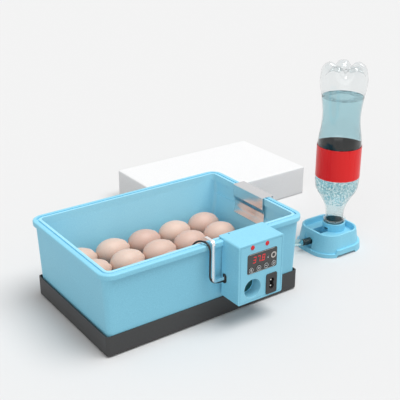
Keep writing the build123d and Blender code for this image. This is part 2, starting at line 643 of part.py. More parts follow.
with BuildPart() as feeder_bowl:
    tapered(BODY_LOW, FEEDER_TOP, BODY_Z, FEEDER_H, at=FEEDER_AT)
    skirt_top = tuple(size - 0.6 for size in FEEDER_BASE)
    tapered(FEEDER_BASE, skirt_top, 0.0, SKIRT_H, at=FEEDER_AT)
    add(notch_hood.part)
    hollow_low = tuple(size - 5.0 for size in FEEDER_BASE)
    hollow_high = (39.3, 39.8, 26.0)
    tapered(hollow_low, hollow_high, 0.0, HOLLOW_Z, at=FEEDER_AT, mode=Mode.SUBTRACT)
    # walls round the sump and behind the hose flat
    block((SUMP[0][0] - 2.4, SUMP[0][1] - 2.4, SUMP[2] - 2.4), (SUMP[1][0] + 2.4, SUMP[1][1] + 2.4, DISH_Z))
    block((FLAT_X, FLAT_Y[0] - 2, BODY_Z), (FLAT_X + 3.4, FLAT_Y[1] + 2, DISH_Z))
    # dish
    dish_low = (35.2, 36.6, 21.4)
    dish_high = (FEEDER_TOP[0] - FEEDER_WALL, FEEDER_TOP[1] - FEEDER_WALL, 22.6)
    tapered(dish_low, dish_high, DISH_Z, FEEDER_H, at=FEEDER_AT, mode=Mode.SUBTRACT)
    fillet(feeder_bowl.faces().sort_by(Axis.Z)[-1].edges(), radius=1.5)
    block((*SUMP[0], SUMP[2]), (*SUMP[1], DISH_Z + 1), mode=Mode.SUBTRACT)
    # flat for the hose barb, and its bore into the sump
    block((FEEDER_AT[0] - 60, FLAT_Y[0], SKIRT_H), (FLAT_X, FLAT_Y[1], FEEDER_H - 3.0), mode=Mode.SUBTRACT)
    disc_x(BARB_Y, BARB_Z, 4.2, FLAT_X - 1, SUMP[0][0] - 1.0, mode=Mode.SUBTRACT)
    disc_x(BARB_Y, BARB_Z, 2.2, FLAT_X - 1, SUMP[0][0] + 1.0, mode=Mode.SUBTRACT)
    notch_prism((NOTCH_X[0] + 4, NOTCH_X[1] - 4), NOTCH_UNDER, 3.5, FEEDER_FRONT - 1, FEEDER_FRONT + 8, Mode.SUBTRACT)
keep(feeder_bowl, "feeder_bowl")

with BuildPart() as feeder_base:
    slab(44.2, 43.4, 31.0, 0.6, 2.8, at=FEEDER_AT)
keep(feeder_base, "feeder_base")

SEAT_Z = DISH_Z + 2.7
with BuildPart() as bottle_collar:
    disc_z(*BOTTLE_AT, COLLAR_R, DISH_Z, COLLAR_TOP)
    fillet(bottle_collar.faces().sort_by(Axis.Z)[-1].edges(), radius=1.2)
    disc_z(*BOTTLE_AT, COLLAR_BORE, SEAT_Z, COLLAR_TOP, mode=Mode.SUBTRACT)
    disc_z(*BOTTLE_AT, COLLAR_BORE - 4.0, DISH_Z, SEAT_Z, mode=Mode.SUBTRACT)
    for side in (-1, 1):
        slot = BOTTLE_AT[0] + side * 18.4
        block((slot - 7, BOTTLE_AT[1] - 5, DISH_Z), (slot + 7, BOTTLE_AT[1] + 5, SEAT_Z + 4), mode=Mode.SUBTRACT)
keep(bottle_collar, "bottle_collar")

with BuildPart() as feeder_barb:
    turned_x(
        BARB_Y,
        BARB_Z,
        [
            (FLAT_X - 17.3, HOSE_BORE - 0.1),
            (FLAT_X - 1.0, HOSE_BORE - 0.1),
            (FLAT_X - 1.0, 4.1),
            (SUMP[0][0] - 1.0, 4.1),
        ],
    )
    disc_x(BARB_Y, BARB_Z, 2.2, FLAT_X - 18.0, SUMP[0][0], mode=Mode.SUBTRACT)
keep(feeder_barb, "feeder_barb")

with BuildPart() as feeder_barb_seal:
    disc_x(BARB_Y, BARB_Z, 6.4, FLAT_X - 1.0, FLAT_X)
    disc_x(BARB_Y, BARB_Z, 4.2, FLAT_X - 1.0, FLAT_X, mode=Mode.SUBTRACT)
keep(feeder_barb_seal, "feeder_barb_seal")

HOSE_ROUTE = [
    (FLAT_X - 1.0, BARB_Y, BARB_Z),
    (247.0, BARB_Y, BARB_Z),
    (206.0, PORT_Y, PORT_Z),
    (WALL_SEAT + 3.5, PORT_Y, PORT_Z),
]
with BuildPart() as water_hose:
    tube_along(HOSE_ROUTE, HOSE_R, HOSE_BORE, 6 * HOSE_R)
print("water_hose volume", round(water_hose.part.volume, 1))
keep(water_hose, "water_hose")

# ---------------------------------------------------------------- bottle
BOTTLE_TOP = 322.5
RING_Z = COLLAR_TOP + 3.0
MOUTH_Z = SEAT_Z + PART_GAP + 1.0
SHOULDER = ((17.4, 69.7), (21.5, 79.9), (28.8, 92.9), (34.3, 101.6))
WAIST = ((36.1, 197.0), (32.0, 234.0), (35.2, 266.0))


def bottle_form(inset, mouth, crown, top):
    """Body of revolution of the bottle, inset from the outer surface."""
    x0 = BOTTLE_AT[0] - inset
    with BuildSketch(Plane.XZ.offset(-BOTTLE_AT[1])) as half:
        with BuildLine():
            neck = Line((x0 + 14.8, mouth), (x0 + 15.5, 58.0))
            shoulder = Spline(
                neck @ 1,
                *[(x0 + r, z) for r, z in SHOULDER],
                (x0 + LABEL_R, BAND_Z[0]),
                tangents=((0, 1), (0, 1)),
            )
            band = Line(shoulder @ 1, (x0 + LABEL_R, BAND_Z[1]))
            waist = Spline(band @ 1, *[(x0 + r, z) for r, z in WAIST], (x0 + 39.2, 292.0), tangents=((0, 1), (0, 1)))
            dome = Spline(waist @ 1, *[(x0 + r, z) for r, z in crown], (BOTTLE_AT[0], top), tangents=((0, 1), (-1, 0)))
            Polyline(dome @ 1, (BOTTLE_AT[0], mouth), neck @ 0)
        make_face()
    return revolve(half.sketch, axis=Axis((*BOTTLE_AT, 0), (0, 0, 1)), mode=Mode.PRIVATE)


CAVITY_CROWN = ((35.0, 297.5), (22.0, 301.5))
with BuildPart() as bottle:
    add(bottle_form(0.0, MOUTH_Z, ((38.2, 304.0), (34.0, 315.0), (26.0, 322.0)), BOTTLE_TOP))
    disc_z(*BOTTLE_AT, 19.7, RING_Z, RING_Z + 2.8)
    add(bottle_form(BOTTLE_WALL, MOUTH_Z - 0.01, CAVITY_CROWN, 302.0), mode=Mode.SUBTRACT)
    # five valleys between the base petals
    for lobe in range(5):
        turn = math.radians(72 * lobe + 20)
        out = (math.cos(turn), math.sin(turn))
        start = (BOTTLE_AT[0] + 4 * out[0], BOTTLE_AT[1] + 4 * out[1], 327.0)
        with BuildSketch(Plane(origin=start, z_dir=(out[0], out[1], -0.5))) as valley:
            Circle(8.0)
        extrude(valley.sketch, amount=52.0, mode=Mode.SUBTRACT)
    with Locations((*BOTTLE_AT, BOTTLE_TOP + 4.0)):
        Sphere(13.0, mode=Mode.SUBTRACT)
keep(bottle, "bottle")

with BuildPart() as bottle_water:
    add(bottle_form(BOTTLE_WALL + 0.05, MOUTH_Z, CAVITY_CROWN, 302.0))
    block((BOTTLE_AT[0] - 50, BOTTLE_AT[1] - 50, 46.0), (BOTTLE_AT[0] + 50, BOTTLE_AT[1] + 50, WATER_LEVEL), mode=Mode.INTERSECT)
keep(bottle_water, "bottle_water")

with BuildPart() as bottle_label:
    disc_z(*BOTTLE_AT, LABEL_R + 0.3, *LABEL_Z)
    disc_z(*BOTTLE_AT, LABEL_R, *LABEL_Z, mode=Mode.SUBTRACT)
keep(bottle_label, "bottle_label")

with BuildPart() as bottle_cap:
    disc_z(*BOTTLE_AT, COLLAR_BORE - 0.4, MOUTH_Z - 1.0, RING_Z)
    disc_z(*BOTTLE_AT, 15.25, MOUTH_Z, RING_Z, mode=Mode.SUBTRACT)
    disc_z(*BOTTLE_AT, 5.0, MOUTH_Z - 1.0, MOUTH_Z, mode=Mode.SUBTRACT)
keep(bottle_cap, "bottle_cap")

# ---------------------------------------------------------------- foam lid, shown taken off
with BuildPart() as foam_lid:
    low = (*LID_CORNER, 0.0)
    block(low, tuple(a + b for a, b in zip(low, LID_SIZE)))
    fillet(foam_lid.edges(), radius=2.5)
keep(foam_lid, "foam_lid")
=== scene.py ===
"""Looks for the water-bed egg incubator: materials, soft pieces, cords, lights and camera."""

import json
import logging
import math
from dataclasses import dataclass
from enum import Enum
from typing import Iterable, Sequence

import bpy
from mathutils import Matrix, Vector

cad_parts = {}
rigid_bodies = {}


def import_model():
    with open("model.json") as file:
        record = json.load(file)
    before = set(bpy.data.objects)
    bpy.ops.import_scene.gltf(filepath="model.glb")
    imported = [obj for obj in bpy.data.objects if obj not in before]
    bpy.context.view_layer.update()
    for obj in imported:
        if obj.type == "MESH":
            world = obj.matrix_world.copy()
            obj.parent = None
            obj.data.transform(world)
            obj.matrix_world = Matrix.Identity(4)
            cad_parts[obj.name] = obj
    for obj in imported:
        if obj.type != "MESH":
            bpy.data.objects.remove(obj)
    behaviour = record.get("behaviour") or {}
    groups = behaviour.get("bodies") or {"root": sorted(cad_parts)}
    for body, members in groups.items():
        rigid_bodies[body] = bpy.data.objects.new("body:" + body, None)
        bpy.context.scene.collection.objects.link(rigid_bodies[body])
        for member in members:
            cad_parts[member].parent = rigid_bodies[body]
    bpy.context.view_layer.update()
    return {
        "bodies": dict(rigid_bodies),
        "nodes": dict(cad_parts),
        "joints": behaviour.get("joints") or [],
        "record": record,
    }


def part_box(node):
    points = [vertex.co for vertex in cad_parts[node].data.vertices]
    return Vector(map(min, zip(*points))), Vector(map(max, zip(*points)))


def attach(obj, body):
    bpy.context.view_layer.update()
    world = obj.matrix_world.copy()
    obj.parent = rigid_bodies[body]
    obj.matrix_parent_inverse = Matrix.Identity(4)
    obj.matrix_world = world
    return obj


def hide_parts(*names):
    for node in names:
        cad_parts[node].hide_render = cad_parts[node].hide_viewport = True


LOG = logging.getLogger("incubator")
MM = 0.001
POLISHED = 0.000004
Point = tuple[float, float, float]
Colour = tuple[float, float, float]


class Body(Enum):
    """Bodies of the frame that new pieces ride on."""

    BASIN = "basin"
    CONTROLLER = "controller"
    BOTTLE = "bottle"


# ------------------------------------------------------------------ node graphs
class Graph:
    """A node tree with short calls for adding and joining nodes."""

    def __init__(self, tree: bpy.types.NodeTree) -> None:
        """Keeps the tree.

        Args:
            tree: The material, world or group tree to add to.
        """
        self.tree = tree

    def node(self, kind: str, **settings: object) -> bpy.types.Node:
        """Adds a node.

        Args:
            kind: Blender's node type name.
            settings: Attributes, or input values when the name is an input with _ for space.

        Returns:
            The new node.
        """
        made = self.tree.nodes.new(kind)
        for key, value in settings.items():
            if hasattr(made, key):
                setattr(made, key, value)
            else:
                made.inputs[key.replace("_", " ")].default_value = value
        return made

    def link(self, start: bpy.types.NodeSocket, end: bpy.types.NodeSocket) -> None:
        """Joins two sockets."""
        self.tree.links.new(start, end)

    def math(self, operation: str, first: object, second: object = 0.0) -> bpy.types.NodeSocket:
        """Adds a math node.

        Args:
            operation: Blender's operation name.
            first: A socket or a number.
            second: A socket or a number.

        Returns:
            The node's output.
        """
        made = self.node("ShaderNodeMath", operation=operation)
        for index, value in enumerate((first, second)):
            if isinstance(value, bpy.types.NodeSocket):
                self.link(value, made.inputs[index])
            else:
                made.inputs[index].default_value = float(value)
        return made.outputs[0]

    def ramp(self, value: bpy.types.NodeSocket, low: float, high: float) -> bpy.types.NodeSocket:
        """Spreads part of a mask over 0 to 1.

        Args:
            value: The mask.
            low: Where the result is 0.
            high: Where the result is 1.

        Returns:
            The spread mask.
        """
        made = self.node("ShaderNodeMapRange")
        made.inputs["From Min"].default_value = low
        made.inputs["From Max"].default_value = high
        self.link(value, made.inputs["Value"])
        return made.outputs[0]

    def noise(self, place: bpy.types.NodeSocket, scale: float, detail: float) -> bpy.types.NodeSocket:
        """Adds a noise pattern.

        Args:
            place: Where it is read.
            scale: Cycles per metre.
            detail: Octaves.

        Returns:
            The pattern.
        """
        made = self.node("ShaderNodeTexNoise", Scale=scale, Detail=detail)
        self.link(place, made.inputs["Vector"])
        return made.outputs[0]

    def mapped(self, place: bpy.types.NodeSocket, socket: str, value: Point) -> bpy.types.NodeSocket:
        """Shifts or stretches a place.

        Args:
            place: Where a pattern is read.
            socket: Location or Scale.
            value: The shift in metres, or the stretch.

        Returns:
            The changed place.
        """
        made = self.node("ShaderNodeMapping")
        made.inputs[socket].default_value = value
        self.link(place, made.inputs["Vector"])
        return made.outputs[0]

    def parts(self, place: bpy.types.NodeSocket) -> bpy.types.NodeOutputs:
        """Splits a place into X, Y and Z."""
        made = self.node("ShaderNodeSeparateXYZ")
        self.link(place, made.inputs[0])
        return made.outputs

    def around(self, parts: bpy.types.NodeOutputs) -> bpy.types.NodeSocket:
        """Gives the distance from the vertical axis, from X and Y."""
        squares = [self.math("MULTIPLY", parts[axis], parts[axis]) for axis in range(2)]
        return self.math("SQRT", self.math("ADD", *squares))

    def between(self, value: bpy.types.NodeSocket, low: float, high: float) -> bpy.types.NodeSocket:
        """Gives 1 where a value is between two limits and 0 elsewhere."""
        above = self.math("GREATER_THAN", value, low)
        return self.math("MULTIPLY", above, self.math("LESS_THAN", value, high))

    def mix(
        self,
        factor: bpy.types.NodeSocket,
        first: "Colour | bpy.types.NodeSocket",
        second: "Colour | bpy.types.NodeSocket",
    ) -> bpy.types.NodeSocket:
        """Mixes two colours by a socket.

        Args:
            factor: Where 0 gives the first colour and 1 the second.
            first: Linear colour or a colour socket.
            second: Linear colour or a colour socket.

        Returns:
            The mixed colour's socket.
        """
        made = self.node("ShaderNodeMix", data_type="RGBA")
        self.link(factor, made.inputs[0])
        for index, value in ((6, first), (7, second)):
            if isinstance(value, bpy.types.NodeSocket):
                self.link(value, made.inputs[index])
            else:
                made.inputs[index].default_value = (*value, 1.0)
        return made.outputs[2]


class Groups:
    """Shared effects, each built once as a node group."""

    made: dict[str, bpy.types.NodeTree] = {}

    @classmethod
    def new(
        cls, name: str, inputs: Iterable[tuple[str, str, float]], outputs: Iterable[tuple[str, str]]
    ) -> Graph:
        """Starts a group with its sockets.

        Args:
            name: The group's name.
            inputs: Name, socket type and default of each input.
            outputs: Name and socket type of each output.

        Returns:
            A graph on the new group.
        """
        tree = bpy.data.node_groups.new(name, "ShaderNodeTree")
        for title, kind, value in inputs:
            socket = tree.interface.new_socket(title, in_out="INPUT", socket_type=kind)
            if kind == "NodeSocketFloat":
                socket.default_value = value
        for title, kind in outputs:
            tree.interface.new_socket(title, in_out="OUTPUT", socket_type=kind)
        cls.made[name] = tree
        return Graph(tree)

    @classmethod
    def grain(cls) -> bpy.types.NodeTree:
        """Fine moulded or cast surface grain.

        Returns:
            A group that puts out a normal and two masks: a fine one and a broad one.
        """
        if "surface_grain" in cls.made:
            return cls.made["surface_grain"]
        graph = cls.new(
            "surface_grain",
            [
                ("Vector", "NodeSocketVector", 0.0),
                ("Scale", "NodeSocketFloat", 1500.0),
                ("Height", "NodeSocketFloat", 0.00005),
                ("Broad Scale", "NodeSocketFloat", 20.0),
            ],
            [("Normal", "NodeSocketVector"), ("Fine", "NodeSocketFloat"), ("Broad", "NodeSocketFloat")],
        )
        entry, leave = graph.node("NodeGroupInput"), graph.node("NodeGroupOutput")
        fine = graph.node("ShaderNodeTexNoise", Detail=2.0, Roughness=0.6)
        broad = graph.node("ShaderNodeTexNoise", Detail=3.0, Roughness=0.55)
        bump = graph.node("ShaderNodeBump", Strength=1.0)
        graph.link(entry.outputs["Vector"], fine.inputs["Vector"])
        graph.link(entry.outputs["Vector"], broad.inputs["Vector"])
        graph.link(entry.outputs["Scale"], fine.inputs["Scale"])
        graph.link(entry.outputs["Broad Scale"], broad.inputs["Scale"])
        graph.link(graph.math("MULTIPLY", fine.outputs[0], entry.outputs["Height"]), bump.inputs["Height"])
        graph.link(bump.outputs[0], leave.inputs["Normal"])
        graph.link(fine.outputs[0], leave.inputs["Fine"])
        graph.link(broad.outputs[0], leave.inputs["Broad"])
        return graph.tree


# ------------------------------------------------------------------ finishes
class Finish:
    """A material with one Principled shader."""

    def __init__(self, name: str, colour: Colour, roughness: float) -> None:
        """Makes the material.

        Args:
            name: The material's name.
            colour: Linear base colour.
            roughness: Shader roughness.
        """
        self.material = bpy.data.materials.new(name)
        self.material.use_nodes = True
        self.graph = Graph(self.material.node_tree)
        self.shader = self.material.node_tree.nodes["Principled BSDF"]
        self.place = self.graph.node("ShaderNodeTexCoord").outputs["Object"]
        self.set("Base Color", (*colour, 1.0))
        self.set("Roughness", roughness)

    def set(self, socket: str, value: object) -> "Finish":
        """Sets a plain value on the shader."""
        self.shader.inputs[socket].default_value = value
        return self

    def feed(self, socket: str, source: bpy.types.NodeSocket) -> "Finish":
        """Joins a varying source to the shader."""
        self.graph.link(source, self.shader.inputs[socket])
        return self

    def grain(self, scale: float, height: float, broad: float) -> bpy.types.Node:
        """Adds the shared grain and joins its normal.

        Args:
            scale: Fine grain scale, in cycles per metre.
            height: Bump height in metres.
            broad: Broad mottling scale.

        Returns:
            The group node.
        """
        node = self.graph.node("ShaderNodeGroup", node_tree=Groups.grain())
        self.graph.link(self.place, node.inputs["Vector"])
        node.inputs["Scale"].default_value = scale
        node.inputs["Height"].default_value = height
        node.inputs["Broad Scale"].default_value = broad
        self.feed("Normal", node.outputs["Normal"])
        return node

    def vary(self, mask: bpy.types.NodeSocket, socket: str, low: float, high: float) -> None:
        """Maps a mask to a range on a shader socket.

        Args:
            mask: A 0 to 1 socket.
            socket: The shader's socket.
            low: Value at 0.
            high: Value at 1.
        """
        spread = self.graph.node("ShaderNodeMapRange")
        spread.inputs["To Min"].default_value = low
        spread.inputs["To Max"].default_value = high
        self.graph.link(mask, spread.inputs["Value"])
        self.feed(socket, spread.outputs[0])


@dataclass(frozen=True)
class Moulding:
    """Injection-moulded plastic with fine grain and slight mottling."""

    name: str
    colour: Colour
    shade: Colour
    roughness: float = 0.42
    scale: float = 900.0
    height: float = 0.00004
    broad: float = 22.0
    specks: tuple[float, float] = (0.35, 0.7)
    fine_share: float = 0.6

    def make(self) -> bpy.types.Material:
        """Builds the material.

        Returns:
            The finished material.
        """
        finish = Finish(self.name, self.colour, self.roughness)
        grain = finish.grain(self.scale, self.height, self.broad)
        graph = finish.graph
        fine = graph.math("MULTIPLY", graph.ramp(grain.outputs["Fine"], *self.specks), self.fine_share)
        broad = graph.math("MULTIPLY", grain.outputs["Broad"], 1.0 - self.fine_share)
        finish.feed("Base Color", graph.mix(graph.math("ADD", fine, broad), self.shade, self.colour))
        finish.vary(grain.outputs["Broad"], "Roughness", self.roughness - 0.06, self.roughness + 0.08)
        return finish.material


@dataclass(frozen=True)
class Metal:
    """Polished sheet or rod with faint drawing lines."""

    name: str
    colour: Colour
    roughness: float
    stretch: Point = (1.0, 1.0, 1.0)
    lines: float = 700.0

    def make(self) -> bpy.types.Material:
        """Builds the material.

        Returns:
            The finished material.
        """
        finish = Finish(self.name, self.colour, self.roughness).set("Metallic", 1.0)
        graph = finish.graph
        drawn = graph.noise(graph.mapped(finish.place, "Scale", self.stretch), self.lines, 3.0)
        finish.vary(drawn, "Roughness", self.roughness * 0.6, self.roughness * 1.6)
        return finish.material


# Painted refraction: teal flecks in the water's colour, standing in for light refracted through the beaded
# bottle wall.
PAINTED_REFRACTION: Colour = (0.20, 0.50, 0.58)
# Painted shade for the outer ring of the water's top face.
PAINTED_SURFACE_SHADE: Colour = (0.12, 0.24, 0.28)


@dataclass(frozen=True)
class Clear:
    """Clear plastic or water."""

    name: str
    colour: Colour
    ior: float
    roughness: float = 0.02
    shadow: float = 0.3
    ripple: float = 0.0
    ripple_scale: float = 60.0
    bead_band: tuple[float, float] | None = None
    low_colour: Colour | None = None
    change: tuple[float, float] = (0.12, 0.19)
    # Middle X and Y, reach and height of the ring on the water's top face that gets painted shade.
    surface: tuple[float, float, float, float] | None = None
    # Scale and range of the painted refraction flecks.
    refraction_fleck_scale: float = 330.0
    refraction_fleck_range: tuple[float, float] = (0.47, 0.54)
    # Fleck scale, fleck range and edge fade of the painted shade on the water's top face.
    shade_fleck_scale: float = 340.0
    shade_fleck_range: tuple[float, float] = (0.36, 0.58)
    shade_ring_fade: float = 0.006
    bead_scale: float = 420.0
    bead_height: float = 0.0016

    def make(self) -> bpy.types.Material:
        """Builds the material.

        Returns:
            The finished material.
        """
        finish = Finish(self.name, self.colour, self.roughness)
        finish.set("Transmission Weight", 1.0).set("IOR", self.ior)
        graph = finish.graph
        path = graph.node("ShaderNodeLightPath")
        held = graph.math("MULTIPLY", path.outputs["Is Shadow Ray"], 1.0 - self.shadow)
        finish.feed("Alpha", graph.math("SUBTRACT", 1.0, held))
        if self.low_colour:
            colour = self.tint(finish)
            # Painted shade on the outer ring of the water's top face.
            if self.surface:
                colour = self.paint_surface_shade(finish, colour)
            finish.feed("Base Color", colour)
        if self.ripple:
            bump = graph.node("ShaderNodeBump", Strength=1.0)
            height = graph.math("MULTIPLY", graph.noise(finish.place, self.ripple_scale, 1.0), self.ripple)
            if self.bead_band:
                height = graph.math("ADD", height, self.beads(finish))
            graph.link(height, bump.inputs["Height"])
            finish.feed("Normal", bump.outputs[0])
        return finish.material

    def tint(self, finish: Finish) -> bpy.types.NodeSocket:
        """Colour that changes with height, with painted refraction flecks in the beaded band.

        Args:
            finish: The material being built.

        Returns:
            The colour's socket.
        """
        graph = finish.graph
        height = graph.parts(finish.place)["Z"]
        base = graph.mix(graph.ramp(height, *self.change), self.low_colour, self.colour)
        if not self.bead_band:
            return base
        band = graph.between(height, *self.bead_band)
        # Painted refraction: teal flecks in the water's colour within the beaded band.
        painted_flecks = graph.ramp(graph.noise(finish.place, self.refraction_fleck_scale, 2.0), *self.refraction_fleck_range)
        return graph.mix(graph.math("MULTIPLY", painted_flecks, band), base, PAINTED_REFRACTION)

    def paint_surface_shade(self, finish: Finish, colour: bpy.types.NodeSocket) -> bpy.types.NodeSocket:
        """Paints shade in flecks on the outer part of the water's top face.

        Args:
            finish: The material being built.
            colour: The colour below the surface.

        Returns:
            The colour's socket.
        """
        graph = finish.graph
        x, y, reach, height = self.surface
        apart = graph.parts(graph.mapped(finish.place, "Location", (-x, -y, -height)))
        ring = graph.ramp(graph.around(apart), reach, reach + self.shade_ring_fade)
        top = graph.math("GREATER_THAN", apart["Z"], 0.0)
        painted_flecks = graph.ramp(graph.noise(finish.place, self.shade_fleck_scale, 2.0), *self.shade_fleck_range)
        share = graph.math("MULTIPLY", graph.math("MULTIPLY", ring, top), painted_flecks)
        return graph.mix(share, colour, PAINTED_SURFACE_SHADE)

    def beads(self, finish: Finish) -> bpy.types.NodeSocket:
        """Beaded relief between two heights.

        Args:
            finish: The material being built.

        Returns:
            The relief's height in metres.
        """
        graph = finish.graph
        cells = graph.node("ShaderNodeTexVoronoi", Scale=self.bead_scale)
        graph.link(finish.place, cells.inputs["Vector"])
        band = graph.between(graph.parts(finish.place)["Z"], *self.bead_band)
        relief = graph.math("MULTIPLY", cells.outputs["Distance"], self.bead_height)
        return graph.math("MULTIPLY", relief, band)


@dataclass(frozen=True)
class Glow:
    """Lit lamp or digit."""

    name: str
    colour: Colour
    strength: float

    def make(self) -> bpy.types.Material:
        """Builds the material.

        Returns:
            The finished material.
        """
        finish = Finish(self.name, self.colour, 0.3)
        finish.set("Emission Color", (*self.colour, 1.0)).set("Emission Strength", self.strength)
        return finish.material


@dataclass(frozen=True)
class Eggshell:
    """Eggshell whose tint differs from egg to egg."""

    pitch: tuple[float, float]
    corner: tuple[float, float]
    pale: Colour = (0.80, 0.610, 0.510)
    warm: Colour = (0.68, 0.465, 0.390)
    freckle: Colour = (0.45, 0.27, 0.20)
    freckle_share: float = 0.35

    def make(self) -> bpy.types.Material:
        """Builds the material.

        Returns:
            The finished material.
        """
        finish = Finish("eggshell", self.pale, 0.45)
        graph = finish.graph
        grain = finish.grain(1800.0, 0.00006, 45.0)
        apart = graph.parts(finish.place)
        cell = graph.node("ShaderNodeCombineXYZ")
        for axis in range(2):
            shifted = graph.math("SUBTRACT", apart[axis], self.corner[axis])
            cells = graph.math("FLOOR", graph.math("DIVIDE", shifted, self.pitch[axis]))
            graph.link(cells, cell.inputs[axis])
        pick = graph.node("ShaderNodeTexWhiteNoise", noise_dimensions="3D")
        graph.link(cell.outputs[0], pick.inputs["Vector"])
        tint = graph.mix(pick.outputs["Value"], self.pale, self.warm)
        spots = graph.ramp(graph.noise(finish.place, 600.0, 3.0), 0.62, 0.72)
        marks = graph.math("MULTIPLY", spots, self.freckle_share)
        finish.feed("Base Color", graph.mix(marks, tint, self.freckle))
        finish.vary(grain.outputs["Broad"], "Roughness", 0.38, 0.55)
        finish.set("Subsurface Weight", 0.08).set("Subsurface Radius", (0.006, 0.003, 0.002))
        finish.set("Subsurface Scale", 1.0)
        return finish.material


@dataclass(frozen=True)
class Foam:
    """Fine closed-cell foam."""

    name: str
    colour: Colour
    cell: float = 260.0
    edge: float = 0.12
    relief: float = 0.0001

    def make(self) -> bpy.types.Material:
        """Builds the material.

        Returns:
            The finished material.
        """
        finish = Finish(self.name, self.colour, 0.6)
        graph = finish.graph
        cells = graph.node("ShaderNodeTexVoronoi", feature="DISTANCE_TO_EDGE", Scale=self.cell)
        graph.link(finish.place, cells.inputs["Vector"])
        rim = graph.ramp(cells.outputs[0], 0.0, self.edge)
        bump = graph.node("ShaderNodeBump", Strength=0.25)
        graph.link(graph.math("MULTIPLY", rim, self.relief), bump.inputs["Height"])
        finish.feed("Normal", bump.outputs[0])
        darker = tuple(0.95 * c for c in self.colour)
        finish.feed("Base Color", graph.mix(rim, darker, self.colour))
        finish.set("Subsurface Weight", 0.25).set("Subsurface Radius", (0.02, 0.02, 0.02))
        finish.set("Subsurface Scale", 1.0)
        return finish.material


# ------------------------------------------------------------------ modelling helpers
class Bench:
    """Short calls for modelling with Blender's operators."""

    @staticmethod
    def clear() -> None:
        """Deselects everything in object mode."""
        if bpy.context.object and bpy.context.object.mode != "OBJECT":
            bpy.ops.object.mode_set(mode="OBJECT")
        bpy.ops.object.select_all(action="DESELECT")

    @staticmethod
    def only(piece: bpy.types.Object) -> None:
        """Selects one object and makes it active."""
        Bench.clear()
        piece.select_set(True)
        bpy.context.view_layer.objects.active = piece

    @staticmethod
    def settle(piece: bpy.types.Object, name: str) -> bpy.types.Object:
        """Puts a piece's place into its mesh.

        Args:
            piece: The object.
            name: Its final name.

        Returns:
            The same object, at the origin.
        """
        Bench.only(piece)
        bpy.ops.object.transform_apply(location=True, rotation=True, scale=True)
        piece.name = piece.data.name = name
        return piece

    @staticmethod
    def apply(piece: bpy.types.Object, kind: str, **settings: object) -> None:
        """Adds a modifier and applies it.

        Args:
            piece: The object.
            kind: Modifier type.
            settings: Modifier attributes.
        """
        Bench.only(piece)
        modifier = piece.modifiers.new(kind.lower(), kind)
        for key, value in settings.items():
            setattr(modifier, key, value)
        bpy.ops.object.modifier_apply(modifier=modifier.name)

    @staticmethod
    def curve(name: str, points: Sequence[Point], kind: str = "NURBS") -> bpy.types.Object:
        """Adds a curve of one open spline.

        Args:
            name: The object's name.
            points: Points in metres.
            kind: NURBS or BEZIER.

        Returns:
            The curve object.
        """
        data = bpy.data.curves.new(name, "CURVE")
        data.dimensions = "3D"
        spline = data.splines.new(kind)
        if kind == "NURBS":
            spline.points.add(len(points) - 1)
            for target, point in zip(spline.points, points):
                target.co = (*point, 1.0)
            spline.order_u = 3
            spline.use_endpoint_u = True
        else:
            spline.bezier_points.add(len(points) - 1)
            for target, point in zip(spline.bezier_points, points):
                target.co = point
                target.handle_left_type = target.handle_right_type = "AUTO"
        spline.resolution_u = 12
        piece = bpy.data.objects.new(name, data)
        bpy.context.collection.objects.link(piece)
        return piece

    @staticmethod
    def spun(
        name: str, points: Sequence[tuple[float, float]], axis: tuple[float, float], sharp: set[int]
    ) -> bpy.types.Object:
        """Turns a profile about a vertical axis.

        Args:
            name: The object's name.
            points: Radius and height in millimetres, low to high.
            axis: The axis's X and Y in metres.
            sharp: Indexes of points with a sharp corner.

        Returns:
            The turned mesh object.
        """
        x, y = axis
        places = [(x + max(r, 0.01) * MM, y, z * MM) for r, z in points]
        profile = Bench.curve(name, places, "BEZIER")
        for index in sharp:
            handle = profile.data.splines[0].bezier_points[index]
            handle.handle_left_type = handle.handle_right_type = "VECTOR"
        profile.data.splines[0].resolution_u = 5
        Bench.only(profile)
        bpy.ops.object.convert(target="MESH")
        bpy.ops.object.mode_set(mode="EDIT")
        bpy.ops.mesh.select_all(action="SELECT")
        bpy.ops.mesh.spin(steps=96, angle=2 * math.pi, center=(x, y, 0), axis=(0, 0, 1))
        bpy.ops.mesh.select_all(action="SELECT")
        bpy.ops.mesh.remove_doubles(threshold=0.00002)
        bpy.ops.mesh.normals_make_consistent(inside=False)
        bpy.ops.object.mode_set(mode="OBJECT")
        bpy.ops.object.shade_smooth_by_angle(angle=math.radians(50))
        return profile

    @staticmethod
    def bar(name: str, low: Point, high: Point, bevel: float) -> bpy.types.Object:
        """Adds a block between two corners with bevelled edges.

        Args:
            name: The object's name.
            low: Lowest corner in metres.
            high: Highest corner in metres.
            bevel: Edge width in metres.

        Returns:
            The block.
        """
        Bench.clear()
        middle = [(a + b) / 2 for a, b in zip(low, high)]
        bpy.ops.mesh.primitive_cube_add(size=1, location=middle)
        piece = bpy.context.object
        piece.scale = [b - a for a, b in zip(low, high)]
        bpy.ops.object.transform_apply(location=True, rotation=True, scale=True)
        bpy.ops.object.mode_set(mode="EDIT")
        bpy.ops.mesh.bevel(offset=bevel, segments=2, affect="EDGES")
        bpy.ops.object.mode_set(mode="OBJECT")
        return Bench.settle(piece, name)

    @staticmethod
    def join(pieces: Sequence[bpy.types.Object], name: str) -> bpy.types.Object:
        """Joins meshes into one.

        Args:
            pieces: The meshes.
            name: The joined object's name.

        Returns:
            The joined object.
        """
        Bench.clear()
        for piece in pieces:
            piece.select_set(True)
        bpy.context.view_layer.objects.active = pieces[0]
        bpy.ops.object.join()
        return Bench.settle(pieces[0], name)

    @staticmethod
    def dress(
        piece: bpy.types.Object, body: str, slot: str, material: bpy.types.Material
    ) -> bpy.types.Object:
        """Gives a piece its body and material.

        Args:
            piece: The object.
            body: The body it rides on.
            slot: Not used.
            material: Its material.

        Returns:
            The same object.
        """
        piece.data.materials.clear()
        piece.data.materials.append(material)
        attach(piece, body)
        LOG.info("piece %s", piece.name)
        return piece


